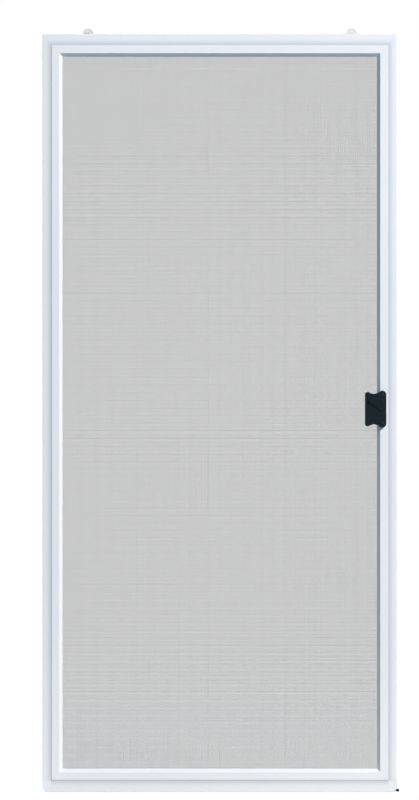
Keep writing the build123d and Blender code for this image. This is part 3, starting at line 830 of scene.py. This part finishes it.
@dataclass
class LatchSet:
    """Pulls, lever, screws, and the latch behind them."""

    shape: PullShape = field(default_factory=PullShape)
    edge_radius_mm: float = 1.3
    edge_steps: int = 6
    back_radius_mm: float = 0.4
    crown_mm: float = 0.45
    foot_start_mm: float = 11.9
    boss_size_mm: tuple[float, float] = (10.5, 41.0)
    boss_place_mm: tuple[float, float] = (16.0, 4.0)
    boss_rise_mm: float = 0.6
    boss_edge_mm: float = 0.5
    boss_edge_steps: int = 5
    boss_root_mm: float = 0.5
    boss_core_mm: float = 0.01
    wing_mm: float = 3.0
    foot_lap_mm: float = 0.8
    screw_head_mm: float = 3.4
    screw_rise_mm: float = 1.7
    screw_shank_mm: float = 1.7
    dome_share: float = 0.55
    dome_power: float = 2.6
    cross_mm: tuple[float, float] = (0.62, 1.9)
    cross_slopes_mm: tuple[float, float] = (0.18, 0.3)
    cross_depth_mm: float = 0.9
    face_rings_mm: tuple[tuple[float, float, int], ...] = ((0.0, 2.2, 12), (2.4, 3.4, 7))
    steps: int = 96

    def shell(self, levels: list[tuple[float, float]], crown_mm: float,
              start_mm: Optional[float] = None) -> tuple[np.ndarray, np.ndarray]:
        """Close a moulding of the pull's outline from its front face round the edge to its back.

        The front face is a grid whose level falls by the crown times the square of the distance
        from the middle; the edge is a row of rings at the given insets and levels; the back is a
        flat grid. Ring levels follow the front's crown in proportion to how far forward they are.

        Args:
            levels: inset and level of each ring from front to back, in millimetres.
            crown_mm: how far the face falls at its furthest corner.
            start_mm: where the moulding starts across, if not at the left edge.

        Returns:
            Points in millimetres as across, up and level, and their faces.
        """
        reach = np.array((self.shape.width_mm / 2, self.shape.right_height_mm))
        front_level, back_level = levels[0][1], levels[-1][1]

        def raised(places: np.ndarray, level: float) -> np.ndarray:
            """Give places in the plane their level, less the crown's fall there."""
            fall = crown_mm * ((places / reach) ** 2).sum(axis=-1) / 2
            share = (level - back_level) / (front_level - back_level)
            return np.concatenate((places, (level - fall * share)[..., None]), axis=-1)

        parts = []
        for inset, level in (levels[0], levels[-1]):
            face = raised(self.shape.face(inset, start_mm), level)
            parts.append((face.reshape(-1, 3), sheet_faces(*face.shape[:2])))
        edge = np.stack([raised(rim_of(self.shape.face(inset, start_mm)), level)
                         for inset, level in levels])
        parts.append((edge.reshape(-1, 3), sheet_faces(*edge.shape[:2], closed=True)))
        return joined(parts)

    def rounded_levels(self, front: float, back: float) -> list[tuple[float, float]]:
        """List the rings of an edge that is a quarter circle in front and a small one behind.

        Args:
            front: the front face's level.
            back: the back face's level.

        Returns:
            Inset and level of each ring, from front to back.
        """
        rings = []
        for radius, level, sign, order in ((self.edge_radius_mm, front, -1, 1),
                                           (self.back_radius_mm, back, 1, -1)):
            turns = np.linspace(0, math.pi / 2, self.edge_steps)
            bend = [(radius * (1 - math.sin(turn)), level + sign * radius * (1 - math.cos(turn)))
                    for turn in turns]
            rings += bend[::order]
        return rings

    def boss(self, base: float) -> tuple[np.ndarray, np.ndarray]:
        """Raise the pad round the lever's spindle.

        Its outline is a slot with round ends; ring j lies at the slot's radius less the inset of
        a quarter circle, and the rings close on the slot's own middle line.

        Args:
            base: the level that it stands on.

        Returns:
            Points in millimetres and their faces.
        """
        width, height = self.boss_size_mm
        turn = full_turn(self.steps)
        curve = np.linspace(0, math.pi / 2, self.boss_edge_steps)
        insets = np.concatenate(([width / 2, 0.0], self.boss_edge_mm * (1 - np.cos(curve)),
                                 [width / 4, width / 2 - self.boss_core_mm, width / 2]))
        rise = self.boss_rise_mm
        lifts = np.concatenate(([-self.boss_root_mm] * 2, rise * np.sin(curve), [rise] * 3))
        ends = np.where(np.sin(turn) >= 0, 1, -1) * (height - width) / 2
        radius = (width / 2 - insets)[:, None]
        rows = np.stack((self.boss_place_mm[0] + radius * np.cos(turn),
                         self.boss_place_mm[1] + ends + radius * np.sin(turn),
                         np.repeat((base + lifts)[:, None], len(turn), axis=1)), axis=-1)
        return rows.reshape(-1, 3), sheet_faces(len(rows), len(turn), closed=True)

    def pull(self, node: str, facing: int, abs_black: Material) -> Object:
        """Mould one pull: a wing over the screen, a foot on the stile, and the outdoor one's boss.

        Args:
            node: the plain pull's node.
            facing: -1 for the outdoor face, 1 for the indoor face.
            abs_black: what it is moulded from.

        Returns:
            The pull.
        """
        low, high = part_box(node)
        near, far = sorted((abs(low.y) / MM, abs(high.y) / MM))
        front = far - (self.boss_rise_mm if facing < 0 else 0.0)
        wing_back = front - self.wing_mm
        parts = [self.shell(self.rounded_levels(front, wing_back), self.crown_mm),
                 self.shell([(0.0, wing_back + self.foot_lap_mm), (0.0, near)], 0.0, self.foot_start_mm)]
        if facing < 0:
            parts.append(self.boss(front - self.crown_mm / 4))
        points, faces = joined(parts)
        middle_up = (low.z + high.z) / 2
        middle_across = high.x - self.shape.width_mm * MM / 2
        placed = np.stack((middle_across + points[:, 0] * MM, facing * points[:, 2] * MM,
                           middle_up + points[:, 1] * MM), axis=-1)
        name = node.replace("pull", "moulded_pull")
        return fit_out(new_piece(name, placed, faces, smooth_below=35), abs_black, "black_plastic",
                       DOOR_BODY, node)

    def screw(self, node: str, oxide: Material) -> Object:
        """Turn one screw: a domed head with a cross recess in front, and its shank through the stile.

        The dome falls with a power of the radius. The cross sinks where a point is nearer to one
        arm's middle line than half the arm's width and nearer to the centre than its length, with
        a short slope at both.

        Args:
            node: the plain screw's node.
            oxide: its finish.

        Returns:
            The screw.
        """
        low, high = corners_of(node)
        centre = (low + high) / 2
        turn = full_turn(self.steps)
        radii = np.concatenate([np.linspace(*ring) for ring in self.face_rings_mm])
        across, up = radii[:, None] * np.cos(turn), radii[:, None] * np.sin(turn)
        dome = self.screw_rise_mm * self.dome_share * (radii / self.screw_head_mm) ** self.dome_power
        narrow, wide = np.minimum(abs(across), abs(up)), np.maximum(abs(across), abs(up))
        sunk = np.prod([np.clip((size - reach) / slope, 0, 1) for size, reach, slope
                        in zip(self.cross_mm, (narrow, wide), self.cross_slopes_mm)], axis=0)
        tip = (high[1] - low[1]) / MM
        rest = np.array(((self.screw_head_mm, self.screw_rise_mm), (self.screw_shank_mm, self.screw_rise_mm),
                         (self.screw_shank_mm, tip), (0.0, tip)))
        across = np.concatenate((across, rest[:, :1] * np.cos(turn)))
        up = np.concatenate((up, rest[:, :1] * np.sin(turn)))
        depth = np.concatenate((dome[:, None] + self.cross_depth_mm * sunk,
                                np.repeat(rest[:, 1:], len(turn), axis=1)))
        points = np.stack((centre[0] + across * MM, low[1] + depth * MM, centre[2] + up * MM), axis=-1)
        name = node.replace("pull_screw", "cross_head_screw")
        made = new_piece(name, points.reshape(-1, 3), sheet_faces(*across.shape, closed=True),
                         smooth_below=35)
        return fit_out(made, oxide, "black_screw", DOOR_BODY, node)

    def build(self) -> list[Object]:
        """Make pulls and screws, and dress the lever and the plated latch.

        Returns:
            The new pieces.
        """
        abs_black, oxide = BLACK_ABS.material(), BLACK_OXIDE.material()
        dress(["thumb_lever"], abs_black)
        dress(["latch_case", "latch_hook", "hook_pin"], ZINC_PLATE.material())
        pulls = [self.pull("front_pull", -1, abs_black), self.pull("rear_pull", 1, abs_black)]
        return pulls + [self.screw(node, oxide) for node in ("upper_pull_screw", "lower_pull_screw")]


@dataclass
class EdgeBumper:
    """The rubber stud at the foot of the leading edge: an oval button on a thin stem."""

    stem_share: float = 0.27
    stem_radius_mm: float = 1.2
    squareness: float = 0.45
    lean: float = 0.125
    steps: int = 64
    rings: int = 33

    def build(self) -> list[Object]:
        """Mould the stud round the line of the plain one.

        The button is an oval of revolution about the X axis, squared a little: at angle u from
        its inner pole it lies at minus the cosine of u times half its length, and reaches the sine
        of u to the power of its squareness times its half height. It leans outwards towards its
        top. The stem is a straight round pin from the frame into the button.

        Returns:
            The new pieces.
        """
        low, high = corners_of("edge_bumper")
        centre, half = (low + high) / 2, (high - low) / 2
        start = low[0] + self.stem_share * 2 * half[0]
        turn = full_turn(self.steps)
        bend = np.linspace(0, math.pi, self.rings)[:, None]
        swell = np.sin(bend) ** self.squareness
        along = (start + high[0]) / 2 - np.cos(bend) * (high[0] - start) / 2
        up = half[2] * swell * np.sin(turn)
        across = np.broadcast_to(along, up.shape) + self.lean * up * np.sin(bend) ** 2
        button = np.stack((np.minimum(across, high[0]), centre[1] + half[1] * swell * np.cos(turn),
                           centre[2] + up), axis=-1)
        radius = np.array((0.0, 1.0, 1.0, 0.0))[:, None] * self.stem_radius_mm * MM
        inside = start + half[0] / 2
        reach = np.array((low[0], low[0], inside, inside))[:, None]
        stem = np.stack((np.broadcast_to(reach, (4, self.steps)), centre[1] + radius * np.cos(turn),
                         centre[2] + radius * np.sin(turn)), axis=-1)
        points, faces = joined([(shape.reshape(-1, 3), sheet_faces(len(shape), self.steps, closed=True))
                                for shape in (button, stem)])
        stud = new_piece("rubber_stud", points, faces, smooth_below=50)
        return [fit_out(stud, BUMPER_RUBBER.material(), "bumper_rubber", DOOR_BODY, "edge_bumper")]


@dataclass
class Studio:
    """White room: camera square to the door, soft box from the upper right, cool ambient light."""

    camera_distance: float = 6.0
    photo_width_px: int = 419
    photo_height_px: int = 800
    door_middle_px: tuple[float, float] = (219.75, 413.0)
    mm_per_px: float = 2.583
    sensor_mm: float = 36.0
    key_direction: tuple[float, float, float] = (0.55, -0.62, 0.56)
    key_distance: float = 12.0
    key_size: float = 1.5
    key_strength: float = 3.88
    key_colour: str = "#FFFAF8"
    back_direction: tuple[float, float, float] = (-0.5, 0.62, 0.6)
    back_strength: float = 3.0
    back_angle_deg: float = 6.0
    ambient_colour: str = "#7CBAE2"
    ambient_strength: float = 0.31
    mirror_colour: str = "#DCEBFF"
    dim_mirror: float = 0.4
    dim_reach: tuple[float, float] = (0.35, 0.75)
    floor_size: float = 60.0
    floor_white: float = 0.92
    floor_glow: float = 1.03
    floor_fade: tuple[float, float] = (1.5, 4.0)
    mat_colour: str = "#B6B8BA"
    mat_reach: tuple[float, float] = (0.4, 1.6)
    room_floor_colour: str = "#445F70"
    shadow_grey: float = 0.8

    def build(self) -> None:
        """Set the view transform, and make camera, lamps, world and floor."""
        bpy.context.scene.view_settings.view_transform = "Standard"
        self.make_camera()
        self.make_soft_box()
        self.make_sun()
        self.make_world()
        self.make_floor()

    def make_camera(self) -> None:
        """Aim a long lens square at the door, shifted to put it where the photograph has it."""
        low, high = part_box("left_stile")[0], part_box("right_stile")[1]
        middle_height = (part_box("bottom_rail")[0].z + high.z) / 2
        data = bpy.data.cameras.new("camera")
        data.sensor_width = self.sensor_mm
        data.lens = self.sensor_mm * self.camera_distance / (self.photo_height_px * self.mm_per_px * MM)
        off_right = self.door_middle_px[0] - self.photo_width_px / 2
        off_down = self.door_middle_px[1] - self.photo_height_px / 2
        data.shift_x = -off_right / self.photo_height_px
        data.shift_y = off_down / self.photo_height_px
        camera = link_object("camera", data)
        camera.location = ((low.x + high.x) / 2, -self.camera_distance, middle_height)
        camera.rotation_euler = (math.pi / 2, 0, 0)
        bpy.context.scene.camera = camera

    def make_soft_box(self) -> None:
        """Stand a soft box up and to the right, near enough that the far side gets less of it.

        Its power is the wanted irradiance at the door's middle times pi times the distance
        squared.
        """
        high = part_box("top_rail")[1]
        data = bpy.data.lights.new("soft_box", "AREA")
        data.shape = "DISK"
        data.size = self.key_size
        data.color = linear(self.key_colour)[:3]
        data.energy = self.key_strength * math.pi * self.key_distance ** 2
        lamp = link_object("soft_box", data)
        towards = Vector(self.key_direction).normalized()
        lamp.location = towards * self.key_distance + Vector((0, 0, high.z / 2))
        lamp.rotation_euler = towards.to_track_quat("Z", "Y").to_euler()

    def make_sun(self) -> None:
        """Add a distant lamp behind the door, so that the indoor side is lit too."""
        data = bpy.data.lights.new("back_sun", "SUN")
        data.energy = self.back_strength
        data.angle = math.radians(self.back_angle_deg)
        lamp = link_object("back_sun", data)
        lamp.rotation_euler = Vector(self.back_direction).to_track_quat("Z", "Y").to_euler()

    def seen_by(self, tree: NodeTree, path: Node, *rays: str) -> Source:
        """Add nodes that give 1 to the named rays and 0 to others.

        Args:
            tree: the material's or world's tree.
            path: its Light Path node.
            rays: names of that node's outputs.

        Returns:
            The largest of the rays' own values.
        """
        share = path.outputs[rays[0]]
        for ray in rays[1:]:
            share = add_node(tree, "Math", {0: share, 1: path.outputs[ray]}, operation="MAXIMUM")
        return share

    def make_world(self) -> None:
        """Show white to the camera, and light the door with a cool sky.

        Reflections see the white room too, dimmer straight in front of and behind the door, where
        the room is dark.
        """
        world = bpy.data.worlds.new("studio")
        world.use_nodes = True
        tree = world.node_tree
        tree.nodes.clear()
        path = add_node(tree, "LightPath")
        ambient = add_node(tree, "Background", {0: linear(self.ambient_colour), 1: self.ambient_strength})
        towards = add_node(tree, "SeparateXYZ", {0: add_node(tree, "TexCoord").outputs["Generated"]})
        through = add_node(tree, "Math", {0: towards.outputs[1]}, operation="ABSOLUTE")
        dim = add_node(tree, "MapRange", {0: through, 1: self.dim_reach[0], 2: self.dim_reach[1], 3: 1.0,
                                          4: self.dim_mirror})
        glossy = add_node(tree, "Background", {0: linear(self.mirror_colour), 1: dim})
        white = add_node(tree, "Background", {0: WHITE, 1: 1.0})
        mirrored = add_node(tree, "MixShader", {0: path.outputs["Is Glossy Ray"], 1: ambient, 2: glossy})
        seen = self.seen_by(tree, path, "Is Camera Ray", "Is Transmission Ray")
        mixed = add_node(tree, "MixShader", {0: seen, 1: mirrored, 2: white})
        add_node(tree, "OutputWorld", {0: mixed})
        bpy.context.scene.world = world

    def make_floor(self) -> None:
        """Lay a white floor at the door's foot that keeps a trace of its shadow.

        Seen, it is white and blends into the room some way off. What it throws back at the door
        is cool, and fades with the distance from the door's foot, as off a pale mat on a dark
        floor.
        """
        half = self.floor_size / 2
        points = np.array([(-half, -half, 0), (half, -half, 0), (half, half, 0), (-half, half, 0)])
        floor = new_piece("studio_floor", points, np.array([[0, 1, 2, 3]]), weld=False)
        material, tree = empty_material("white_studio_floor")
        path = add_node(tree, "LightPath")
        seen = self.seen_by(tree, path, "Is Camera Ray", "Is Glossy Ray", "Is Transmission Ray")
        place = add_node(tree, "TexCoord").outputs["Object"]
        away = add_node(tree, "VectorMath", {0: place}, operation="LENGTH")
        off_mat = add_node(tree, "MapRange",
                           {0: away.outputs["Value"], 1: self.mat_reach[0], 2: self.mat_reach[1]})
        thrown = add_node(tree, "Mix", {0: off_mat, 6: linear(self.mat_colour),
                                        7: linear(self.room_floor_colour)}, data_type="RGBA")
        tone = add_node(tree, "Mix", {0: seen, 6: thrown.outputs[2], 7: (*[self.shadow_grey] * 3, 1.0)},
                        data_type="RGBA")
        diffuse = add_node(tree, "BsdfDiffuse", {0: tone.outputs[2]})
        near, far = self.floor_fade
        strength, white = (
            add_node(tree, "MapRange", {0: away.outputs["Value"], 1: near, 2: far, 3: low, 4: 1.0})
            for low in (self.floor_glow, self.floor_white))
        glow = add_node(tree, "Emission", {0: WHITE, 1: strength})
        share = add_node(tree, "Math", {0: seen, 1: white}, operation="MULTIPLY")
        mixed = add_node(tree, "MixShader", {0: share, 1: diffuse, 2: glow})
        add_node(tree, "OutputMaterial", {0: mixed})
        floor.data.materials.append(material)


def main() -> None:
    """Build the studio and each sub-assembly in order, and report each new piece."""
    logging.basicConfig(level=logging.INFO, format="%(name)s %(message)s")
    Studio().build()
    RolledFrame().build()
    log.info("frame coated")
    for assembly in (WovenScreen(), RibbedBead(), RollerSet(), LatchSet(), EdgeBumper()):
        for piece in assembly.build():
            log.info("%s with %d faces", piece.name, len(piece.data.polygons))


if __name__ == "__main__":
    main()
